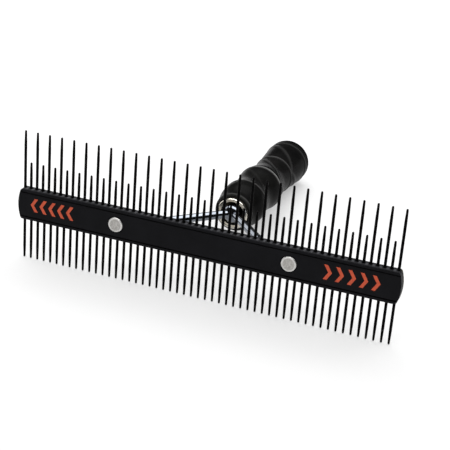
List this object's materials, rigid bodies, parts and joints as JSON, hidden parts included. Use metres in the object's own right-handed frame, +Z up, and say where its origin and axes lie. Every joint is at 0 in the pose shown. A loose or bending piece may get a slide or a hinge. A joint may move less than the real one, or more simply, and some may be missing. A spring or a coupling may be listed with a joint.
{
  "type": "undercoat rake",
  "caption": "Two-sided undercoat rake: a flat bar with long and short pins on one edge and even pins on the other, on a riveted two-arm fork with a lobed rubber hand grip.",
  "frame": {"origin": "middle of the bar's flat front face, midway between the two rivets", "axes": "+X along the bar, +Y from the front face back through the fork and the handle, +Z up the long pins"},
  "size_m": [0.2264, 0.1577, 0.0783],
  "materials": {
    "bar_black": "black anodised, fine satin",
    "pin_black": "black coated steel, satin",
    "rivet_metal": "flat turned head, slightly mottled",
    "plated_steel": "zinc plated",
    "spring_steel": "dark oiled",
    "fork_chrome": "bright chrome plate",
    "ferrule_nickel": "satin nickel plate",
    "bush_nickel": "turned nickel, warm tint",
    "core_plastic": "hard moulded plastic",
    "grip_rubber": "black rubber, fine matt texture",
    "plug_plastic": "black moulded plastic",
    "print_orange": "orange pad print, satin"
  },
  "bodies": {
    "root": {"spine": "bar_black", "long_pins": "pin_black", "short_pins": "pin_black", "lower_pins": "pin_black", "rivet_left": "rivet_metal", "rivet_right": "rivet_metal", "rivet_washer_left": "plated_steel", "rivet_washer_right": "plated_steel", "fork_arm_left": "fork_chrome", "fork_arm_right": "fork_chrome", "fork_crown": "fork_chrome", "fork_tang": "plated_steel", "ferrule": "ferrule_nickel", "ferrule_bush": "bush_nickel", "handle_core": "core_plastic", "tang_washer": "plated_steel", "tang_lock_washer": "spring_steel", "tang_nut": "plated_steel", "grip_sleeve": "grip_rubber", "end_plug": "plug_plastic"}
  },
  "joints": []
}
